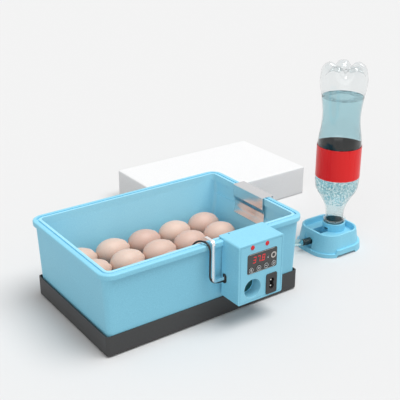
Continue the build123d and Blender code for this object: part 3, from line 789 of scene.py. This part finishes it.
# ------------------------------------------------------------------ studio
@dataclass
class Studio:
    """Camera, lamps, world and floor."""

    eye: Point = (-0.59914, -0.93570, 0.63301)
    azimuth: float = -0.6137
    elevation: float = 0.4060
    lens: float = 72.57
    floor: Colour = (0.777, 0.777, 0.777)
    bounce: Colour = (0.49, 0.49, 0.49)
    world: float = 0.50
    background: float = 0.855
    floor_size: float = 24.0
    lamps: tuple[tuple[str, Point, float, float], ...] = (
        ("key", (0.30, -0.25, 0.92), 2.04, 40.0),
        ("fill", (-0.8, -0.6, 0.35), 0.56, 60.0),
    )

    def camera(self) -> None:
        """Adds the camera."""
        data = bpy.data.cameras.new("camera")
        data.lens = self.lens
        data.sensor_width = 36.0
        data.clip_end = 60.0
        camera = bpy.data.objects.new("camera", data)
        bpy.context.collection.objects.link(camera)
        flat = math.cos(self.elevation)
        back = (math.sin(self.azimuth) * flat, -math.cos(self.azimuth) * flat, math.sin(self.elevation))
        camera.location = self.eye
        camera.rotation_mode = "QUATERNION"
        camera.rotation_quaternion = (-Vector(back)).to_track_quat("-Z", "Y")
        bpy.context.scene.camera = camera

    def lights(self) -> None:
        """Adds the lamps and the world."""
        for name, towards, strength, angle in self.lamps:
            data = bpy.data.lights.new(name, "SUN")
            data.energy = strength
            data.angle = math.radians(angle)
            lamp = bpy.data.objects.new(name, data)
            lamp.rotation_mode = "QUATERNION"
            lamp.rotation_quaternion = Vector(towards).to_track_quat("Z", "Y")
            bpy.context.collection.objects.link(lamp)
        world = bpy.data.worlds.new("world")
        world.use_nodes = True
        graph = Graph(world.node_tree)
        shade = world.node_tree.nodes["Background"]
        shade.inputs["Color"].default_value = (1.0, 1.0, 1.0, 1.0)
        path = graph.node("ShaderNodeLightPath")
        seen = graph.math("MAXIMUM", path.outputs["Is Camera Ray"], path.outputs["Is Glossy Ray"])
        seen = graph.math("MAXIMUM", seen, path.outputs["Is Transmission Ray"])
        extra = graph.math("MULTIPLY", seen, self.background - self.world)
        graph.link(graph.math("ADD", extra, self.world), shade.inputs["Strength"])
        bpy.context.scene.world = world
        bpy.context.scene.view_settings.view_transform = "Standard"

    def ground(self) -> None:
        """Adds the floor."""
        Bench.clear()
        bpy.ops.mesh.primitive_plane_add(size=self.floor_size, location=(0, 0, 0))
        floor = bpy.context.object
        floor.name = "floor"
        finish = Finish("floor", self.floor, 0.9)
        finish.set("Specular IOR Level", 0.0)
        path = finish.graph.node("ShaderNodeLightPath")
        finish.feed("Base Color", finish.graph.mix(path.outputs["Is Diffuse Ray"], self.floor, self.bounce))
        floor.data.materials.append(finish.material)

    def build(self) -> None:
        """Adds the whole studio."""
        self.camera()
        self.lights()
        self.ground()


# ------------------------------------------------------------------ cords
@dataclass
class Cords:
    """The clear water hose and the black probe lead."""

    hose_route: tuple[Point, ...] = (
        (277.3, -21.9, 18.8),
        (247.0, -21.9, 18.8),
        (206.0, -22.0, 46.0),
        (171.9, -22.0, 46.0),
    )
    lead_route: tuple[Point, ...] = (
        (17.9, -119.8, 67.0),
        (-7.4, -120.2, 67.0),
        (-8.4, -121.6, 100.0),
        (-7.4, -121.6, 134.2),
        (-15.0, -96.0, 132.4),
        (-26.0, -94.0, 112.0),
        (-24.0, -93.2, 80.0),
        (-26.0, -92.7, 58.0),
        (-50.0, -92.7, 50.5),
    )
    hose_radius: float = 6.0
    lead_radius: float = 1.5

    @staticmethod
    def metres(points: Iterable[Point]) -> list[Point]:
        """Turns millimetre points into metres."""
        return [tuple(c * MM for c in p) for p in points]

    def hose(self) -> bpy.types.Object:
        """Makes the hose.

        Returns:
            The hose.
        """
        points = self.metres(self.hose_route)
        line = Bench.curve("water_hose_piece", points)
        line.data.splines[0].resolution_u = 24
        line.data.bevel_depth = self.hose_radius * MM
        line.data.bevel_resolution = 6
        look = Clear("clear_hose", (0.60, 0.86, 0.88), 1.38, roughness=0.04, shadow=0.15)
        Bench.dress(line, Body.BASIN.value, "hose", look.make())
        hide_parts("water_hose")
        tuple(points[-1][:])
        return line

    def lead(self) -> bpy.types.Object:
        """Makes the probe lead.

        Returns:
            The lead.
        """
        points = self.metres(self.lead_route)
        line = Bench.curve("probe_lead_piece", points)
        line.data.bevel_depth = self.lead_radius * MM
        line.data.bevel_resolution = 5
        look = Moulding("lead_sheath", (0.02, 0.02, 0.022), (0.012, 0.012, 0.013), 0.4)
        Bench.dress(line, Body.CONTROLLER.value, "lead", look.make())
        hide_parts("probe_lead")
        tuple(points[0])
        return line


# ------------------------------------------------------------------ finishes of the CAD nodes
@dataclass(frozen=True)
class Sleeve:
    """Printed sleeve: coloured outside, dark inside."""

    axis: tuple[float, float]
    between: float
    outside: Colour = (0.86, 0.012, 0.014)
    streak: Colour = (0.99, 0.035, 0.035)
    inside: Colour = (0.012, 0.012, 0.013)

    def make(self) -> bpy.types.Material:
        """Builds the material.

        Returns:
            The finished material.
        """
        finish = Finish("sleeve", self.outside, 0.28).set("Specular IOR Level", 0.25)
        graph = finish.graph
        centred = graph.mapped(finish.place, "Location", (-self.axis[0], -self.axis[1], 0.0))
        outer = graph.math("GREATER_THAN", graph.around(graph.parts(centred)), self.between)
        streaks = graph.noise(graph.mapped(finish.place, "Scale", (1.0, 1.0, 0.04)), 60.0, 2.0)
        red = graph.mix(streaks, self.outside, self.streak)
        finish.feed("Base Color", graph.mix(outer, self.inside, red))
        finish.vary(streaks, "Roughness", 0.22, 0.34)
        return finish.material


class Wardrobe:
    """Finishes for the CAD nodes, by the record's slot."""

    def __init__(self, record: dict) -> None:
        """Builds one material per slot.

        Args:
            record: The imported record.
        """
        self.slots = {row["node"]: row["material_slot"] for row in record["subparts"]}
        blue, shade = (0.312, 0.748, 0.945), (0.240, 0.635, 0.825)
        self.finishes = {
            "blue_plastic": Moulding("blue_plastic", blue, shade, 0.45, 700.0, 0.00005),
            "tray_plastic": Moulding("tray_plastic", (0.052, 0.052, 0.052), (0.040, 0.040, 0.041), 0.5),
            "foot_rubber": Moulding("foot_rubber", (0.030, 0.030, 0.032), (0.020, 0.020, 0.022), 0.7),
            "mat_foam": Foam("mat_foam", (0.060, 0.060, 0.062), 500.0),
            "jacket_foam": Foam("jacket_foam", (0.80, 0.78, 0.72), 400.0),
            "lid_foam": Foam("lid_foam", (0.86, 0.865, 0.87), 320.0),
            "film": Moulding("heater_film", (0.55, 0.26, 0.05), (0.45, 0.20, 0.04), 0.3),
            "egg_shell": Eggshell(pitch=(0.0579, 0.0451), corner=(-0.14735, -0.0917)),
            "screw_blue": Moulding("screw_paint", (0.10, 0.35, 0.60), (0.08, 0.30, 0.52), 0.3),
            "window": Moulding(
                "smoked_window", (0.062, 0.062, 0.060), (0.052, 0.052, 0.051), 0.16, 900.0, POLISHED
            ),
            "digits": Moulding("unlit_digits", (0.10, 0.010, 0.010), (0.08, 0.008, 0.008), 0.3),
            "key_plastic": Moulding(
                "key_plastic", (0.050, 0.050, 0.049), (0.042, 0.042, 0.042), 0.22, 900.0, 0.000006
            ),
            "board": Moulding("circuit_board", (0.020, 0.160, 0.060), (0.014, 0.120, 0.045), 0.35),
            "led": Glow("red_lamp", (0.62, 0.006, 0.012), 0.16),
            "component": Moulding("component_case", (0.03, 0.05, 0.16), (0.02, 0.04, 0.12), 0.4),
            "core": Metal("laminated_core", (0.30, 0.27, 0.24), 0.5),
            "candler": Moulding("candler_tube", (0.345, 0.745, 0.910), (0.31, 0.69, 0.86), 0.4),
            "lens": Moulding(
                "candler_lens", (0.015, 0.110, 0.100), (0.006, 0.060, 0.058), 0.12, 900.0, POLISHED
            ),
            "inlet": Moulding("inlet_nylon", (0.042, 0.042, 0.042), (0.032, 0.032, 0.033), 0.5),
            "brass": Metal("plated_pins", (0.80, 0.78, 0.74), 0.22),
            "bright_steel": Metal("bright_steel", (0.74, 0.74, 0.75), 0.16, (1.0, 0.05, 1.0)),
            "nylon": Moulding("black_nylon", (0.018, 0.022, 0.024), (0.012, 0.014, 0.016), 0.38),
            "label": Sleeve(axis=(0.3322, -0.0212), between=0.03755),
        }
        self.built: dict[str, bpy.types.Material] = {}
        self.special = {
            "hook_rod": Metal("white_chrome", (0.95, 0.95, 0.96), 0.12, (1.0, 1.0, 0.05)),
            # The liner is a lighter copy of the blue plastic: painted light that brightens the basin's inner
            # walls.
            "inner_liner": Moulding(
                "liner_blue_painted_light", (0.410, 0.830, 1.000), (0.340, 0.745, 0.940), 0.45, 700.0, 0.00005
            ),
            "bottle_cap": Moulding("cap_plastic", (0.080, 0.190, 0.225), (0.065, 0.165, 0.200), 0.35),
            "feeder_barb_seal": Moulding("seal_silicone", (0.240, 0.640, 0.780), (0.20, 0.58, 0.72), 0.3),
        }

    def finish(self, key: str) -> bpy.types.Material:
        """Gives a finish's material, built once.

        Args:
            key: A slot or a specially finished node.

        Returns:
            The material.
        """
        if key not in self.built:
            source = self.special if key in self.special else self.finishes
            self.built[key] = source[key].make()
        return self.built[key]

    def dress(self, nodes: dict[str, bpy.types.Object]) -> None:
        """Gives every kept CAD node its material.

        Args:
            nodes: The CAD nodes by name.
        """
        for name, node in nodes.items():
            key = name if name in self.special else self.slots[name]
            if key not in self.special and key not in self.finishes:
                continue
            node.data.materials.clear()
            node.data.materials.append(self.finish(key))
            LOG.info("finish %s on %s", key, name)


# ------------------------------------------------------------------ bottle
@dataclass
class Bottle:
    """Clear bottle, upside down in the feeder, with its water."""

    axis: tuple[float, float] = (0.3322, -0.0212)
    outline: tuple[tuple[float, float], ...] = (
        (14.9, 32.0),
        (14.9, 36.0),
        (15.3, 45.2),
        (19.4, 45.3),
        (19.5, 47.4),
        (15.6, 47.6),
        (15.6, 58.0),
        (17.3, 69.7),
        (21.4, 79.9),
        (28.5, 92.9),
        (34.0, 101.6),
        (37.0, 114.0),
        (37.1, 140.0),
        (37.1, 184.0),
        (36.0, 197.0),
        (33.0, 216.0),
        (31.9, 234.0),
        (33.3, 253.0),
        (36.4, 273.0),
        (38.9, 290.0),
        (38.7, 302.0),
        (35.8, 314.0),
        (29.5, 320.6),
        (24.0, 321.8),
        (17.0, 319.0),
        (9.0, 313.5),
        (0.0, 311.5),
    )
    ring_points: tuple[int, ...] = (2, 3, 4, 5)
    ring_edge: tuple[int, ...] = (3, 4)
    wall: float = 0.45
    water_gap: float = 0.75
    water_top: float = 267.0
    waist_at_top: float = 35.3
    creep: tuple[tuple[float, float], ...] = ((0.0, 0.0), (1.5, 0.9), (5.0, 1.2))
    lobes: int = 5
    first_valley: float = 15.0
    lobe_from: float = 294.0
    lobe_depth: float = 11.0
    lobe_rise: float = 26.0
    lobe_pull: float = 0.14
    lobe_hub: float = 0.012

    def petals(self, piece: bpy.types.Object) -> None:
        """Sinks the valleys between the base lobes.

        Args:
            piece: The bottle's mesh.
        """
        for vertex in piece.data.vertices:
            rise = (vertex.co.z / MM - self.lobe_from) / self.lobe_rise
            if rise <= 0:
                continue
            x, y = vertex.co.x - self.axis[0], vertex.co.y - self.axis[1]
            radius = math.hypot(x, y)
            angle = math.atan2(y, x) - math.radians(self.first_valley)
            valley = (0.5 + 0.5 * math.cos(self.lobes * angle)) ** 2.2
            share = min(rise, 1.0) ** 1.4 * min(radius / self.lobe_hub, 1.0) * valley
            vertex.co.z -= self.lobe_depth * MM * share
            pull = 1.0 - self.lobe_pull * share
            vertex.co.x = self.axis[0] + x * pull
            vertex.co.y = self.axis[1] + y * pull

    def shell(self) -> bpy.types.Object:
        """Makes the bottle's thin wall.

        Returns:
            The bottle.
        """
        piece = Bench.spun("bottle_shell", self.outline, self.axis, set(self.ring_points))
        self.petals(piece)
        Bench.apply(piece, "SOLIDIFY", thickness=self.wall * MM, offset=-1.0)
        piece = Bench.settle(piece, "bottle_shell")
        look = Clear(
            "clear_bottle",
            (0.935, 0.95, 0.952),
            1.42,
            roughness=0.01,
            shadow=0.12,
            ripple=0.00003,
            ripple_scale=45.0,
            bead_band=(0.068, 0.1275),
        )
        Bench.dress(piece, Body.BOTTLE.value, "pet", look.make())
        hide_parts("bottle")
        return piece

    def water(self) -> bpy.types.Object:
        """Makes the water with its curved edge at the wall.

        Returns:
            The water.
        """
        inside = [
            (radius - self.water_gap, z)
            for index, (radius, z) in enumerate(self.outline)
            if z < self.water_top and index not in self.ring_edge
        ]
        low = inside[0][1] + 1.0
        inside[0] = (inside[0][0], low)
        last = self.waist_at_top - self.water_gap
        edge = [(last - away, self.water_top - drop) for away, drop in self.creep]
        points = [(0.0, low), *inside, *edge, (0.0, edge[-1][1])]
        sharp = {0, 1, len(inside) + 1, len(points) - 1}
        piece = Bench.settle(Bench.spun("water_fill", points, self.axis, sharp), "water_fill")
        look = Clear(
            "water",
            (0.47, 0.72, 0.78),
            1.05,
            roughness=0.0,
            shadow=0.25,
            ripple=0.00012,
            ripple_scale=30.0,
            # In this band the water gets a beaded bump and painted refraction flecks in its colour.
            bead_band=(0.078, 0.1275),
            low_colour=(0.80, 0.92, 0.93),
            # The outer ring of the top face gets painted shade.
            surface=(*self.axis, 0.016, 0.2655),
        )
        Bench.dress(piece, Body.BOTTLE.value, "water", look.make())
        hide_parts("bottle_water")
        return piece


# ------------------------------------------------------------------ display and key marks
SEGMENTS: dict[str, str] = {"3": "abgcd", "7": "abc", "8": "abcdefg"}


@dataclass
class Front:
    """Lit reading, window line and key marks on the controller's front."""

    face: float = -151.9
    proud: float = 0.12
    sunk: float = 0.02
    bar_bevel: float = 0.05
    digit_height: float = 9.8
    digit_width: float = 4.8
    stroke: float = 0.66
    level_stroke: float = 1.0
    segment_gap: float = 0.2
    slant: float = 0.12
    point: tuple[float, float] = (59.0, 60.4)
    digit_z: float = 105.0
    digit_x: tuple[float, ...] = (47.6, 55.2, 63.8)
    reading: str = "378"
    line_x: tuple[float, float] = (36.6, 84.1)
    line_z: tuple[float, float] = (85.0, 115.0)
    line_width: float = 0.35
    unit_x: tuple[float, float, float] = (71.4, 72.0, 73.2)
    unit_z: tuple[float, float] = (101.6, 104.2)
    unit_stroke: float = 0.5
    key_x: tuple[float, ...] = (41.3, 55.1, 68.7, 82.7)
    key_z: float = 90.5
    key_face: float = -152.5
    key_ring: tuple[float, float] = (3.75, 0.26)
    key_marks: tuple[tuple[tuple[float, float], ...], ...] = (
        ((1.3, 1.3), (0.5, 2.2)),
        ((1.8, 0.4), (0.4, 1.8)),
        ((1.8, 0.4),),
        (),
    )
    mark_ring: tuple[float, float] = (1.4, 0.35)
    round_key: tuple[float, float] = (82.0, 104.0)
    round_ring: tuple[float, float] = (3.9, 1.1)

    def bar(self, name: str, x: tuple[float, float], z: tuple[float, float], face: float) -> bpy.types.Object:
        """Adds a thin bar on the front.

        Args:
            name: The object's name.
            x: Left and right in millimetres.
            z: Bottom and top in millimetres.
            face: The Y of the face it lies on.

        Returns:
            The bar.
        """
        low = (x[0] * MM, (face - self.proud) * MM, z[0] * MM)
        high = (x[1] * MM, (face + self.sunk) * MM, z[1] * MM)
        return Bench.bar(name, low, high, self.bar_bevel * MM)

    def digit(self, figure: str, x: float) -> list[bpy.types.Object]:
        """Makes one seven-segment figure.

        Args:
            figure: The figure.
            x: Its middle in millimetres.

        Returns:
            Its bars.
        """
        w, h, z = self.digit_width / 2, self.digit_height / 2, self.digit_z
        t, bar, gap = self.stroke, self.level_stroke, self.segment_gap
        spans = {
            "a": ((x - w + gap, x + w - gap), (z + h - bar, z + h)),
            "g": ((x - w + gap, x + w - gap), (z - bar / 2, z + bar / 2)),
            "d": ((x - w + gap, x + w - gap), (z - h, z - h + bar)),
            "f": ((x - w, x - w + t), (z + gap, z + h - gap)),
            "b": ((x + w - t, x + w), (z + gap, z + h - gap)),
            "e": ((x - w, x - w + t), (z - h + gap, z - gap)),
            "c": ((x + w - t, x + w), (z - h + gap, z - gap)),
        }
        return [self.bar("segment", *spans[key], self.face) for key in SEGMENTS[figure]]

    def numbers(self) -> None:
        """Makes the lit reading with its point."""
        bars = [bar for figure, x in zip(self.reading, self.digit_x) for bar in self.digit(figure, x)]
        bottom = self.digit_z - self.digit_height / 2
        side = self.point[1] - self.point[0]
        bars.append(self.bar("point", self.point, (bottom, bottom + side), self.face))
        piece = Bench.join(bars, "lit_reading")
        for vertex in piece.data.vertices:
            vertex.co.x += self.slant * (vertex.co.z - self.digit_z * MM)
        look = Glow("lit_red", (0.72, 0.012, 0.016), 0.60)
        Bench.dress(piece, Body.CONTROLLER.value, "digits", look.make())

    def marks(self, white: bpy.types.Material) -> None:
        """Makes the window's line and the unit mark.

        Args:
            white: The print's material.
        """
        bottom, top = self.line_z
        left, inner, right = self.unit_x
        low, high = self.unit_z
        spans = (
            ("line", self.line_x, (top - self.line_width, top)),
            ("line", self.line_x, (bottom, bottom + self.line_width)),
            ("unit", (left, inner), (low, high)),
            ("unit", (inner, right), (low, low + self.unit_stroke)),
            ("unit", (inner, right), (high - self.unit_stroke, high)),
        )
        bars = [self.bar(*span, self.face) for span in spans]
        piece = Bench.join(bars, "window_print")
        Bench.dress(piece, Body.CONTROLLER.value, "window", white)

    def ring(
        self, name: str, at: tuple[float, float], radius: float, thick: float, face: float
    ) -> bpy.types.Object:
        """Adds a flattened printed ring.

        Args:
            name: The object's name.
            at: Its middle's X and Z in millimetres.
            radius: Middle radius in millimetres.
            thick: Half its width in millimetres.
            face: The Y of the face it lies on.

        Returns:
            The ring.
        """
        Bench.clear()
        place = (at[0] * MM, face * MM, at[1] * MM)
        bpy.ops.mesh.primitive_torus_add(
            major_radius=radius * MM,
            minor_radius=thick * MM,
            major_segments=48,
            minor_segments=8,
            location=place,
            rotation=(math.pi / 2, 0, 0),
        )
        piece = bpy.context.object
        bpy.ops.object.transform_apply(location=True, rotation=True, scale=True)
        for vertex in piece.data.vertices:
            vertex.co.y = face * MM + (vertex.co.y - face * MM) * self.proud / thick
        return Bench.settle(piece, name)

    def keys(self, white: bpy.types.Material) -> None:
        """Makes each key's ring and mark, riding on the key.

        Args:
            white: The print's material.
        """
        z, face = self.key_z, self.key_face
        for index, (x, spans) in enumerate(zip(self.key_x, self.key_marks)):
            pieces = [self.ring("key_ring", (x, z), *self.key_ring, face)]
            pieces += [self.bar("mark", (x - w, x + w), (z - h, z + h), face) for w, h in spans]
            if not spans:
                pieces.append(self.ring("mark", (x, z), *self.mark_ring, face))
            name = f"key_{index + 1}"
            piece = Bench.join(pieces, f"{name}_print")
            Bench.dress(piece, name, "key_plastic", white)
        ring = self.ring("round_key_print", self.round_key, *self.round_ring, face)
        grey = Moulding("grey_print", (0.60, 0.57, 0.54), (0.52, 0.50, 0.47), 0.4, 2000.0, POLISHED)
        Bench.dress(ring, "round_key", "key_plastic", grey.make())

    def build(self) -> None:
        """Makes everything on the front."""
        ink = Moulding("white_print", (0.80, 0.82, 0.83), (0.72, 0.74, 0.75), 0.4, 2000.0, POLISHED)
        white = ink.make()
        self.numbers()
        self.marks(white)
        self.keys(white)


# ------------------------------------------------------------------ water bed
@dataclass
class WaterBed:
    """Vinyl bag of warm water under the eggs."""

    voxel: float = 0.0055
    inset: float = 0.0015
    edge: float = 0.007
    pressure: float = 4.0
    cap: float = 0.004
    frames: int = 20

    def build(self) -> bpy.types.Object:
        """Makes the bag and lets it swell.

        Returns:
            The bag.
        """
        low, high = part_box("water_bed")
        start, end = [c + self.inset for c in low], [c - self.inset for c in high]
        bag = Bench.bar("water_bag", start, end, self.edge)
        Bench.apply(bag, "REMESH", mode="VOXEL", voxel_size=self.voxel)
        self.swell(bag)
        for vertex in bag.data.vertices:
            for axis in range(3):
                vertex.co[axis] = min(max(vertex.co[axis], low[axis]), high[axis])
        Bench.apply(bag, "SUBSURF", levels=1, render_levels=1)
        bpy.ops.object.shade_smooth()
        Bench.settle(bag, "water_bag")
        look = Moulding("water_bag", (0.22, 0.46, 0.58), (0.18, 0.40, 0.52), 0.22, 300.0, 0.00005)
        Bench.dress(bag, Body.BASIN.value, "bed_film", look.make())
        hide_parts("water_bed")
        return bag

    def swell(self, bag: bpy.types.Object) -> None:
        """Blows the bag up with cloth and caps how far it moves.

        Args:
            bag: The bag's mesh.
        """
        start = [vertex.co.copy() for vertex in bag.data.vertices]
        Bench.only(bag)
        cloth = bag.modifiers.new("cloth", "CLOTH")
        cloth.settings.use_pressure = True
        cloth.settings.uniform_pressure_force = self.pressure
        cloth.settings.effector_weights.gravity = 0.0
        cloth.settings.quality = 5
        scene = bpy.context.scene
        for frame in range(1, self.frames + 1):
            scene.frame_set(frame)
        bpy.ops.object.modifier_apply(modifier=cloth.name)
        scene.frame_set(1)
        for vertex, before in zip(bag.data.vertices, start):
            move = vertex.co - before
            if move.length > self.cap:
                vertex.co = before + move * (self.cap / move.length)


def main() -> None:
    """Builds the scene piece by piece."""
    logging.basicConfig(level=logging.INFO)
    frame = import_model()
    Studio().build()
    cords = Cords()
    cords.hose()
    cords.lead()
    Wardrobe(frame["record"]).dress(frame["nodes"])
    bottle = Bottle()
    bottle.shell()
    bottle.water()
    Front().build()
    WaterBed().build()


if __name__ == "__main__":
    main()
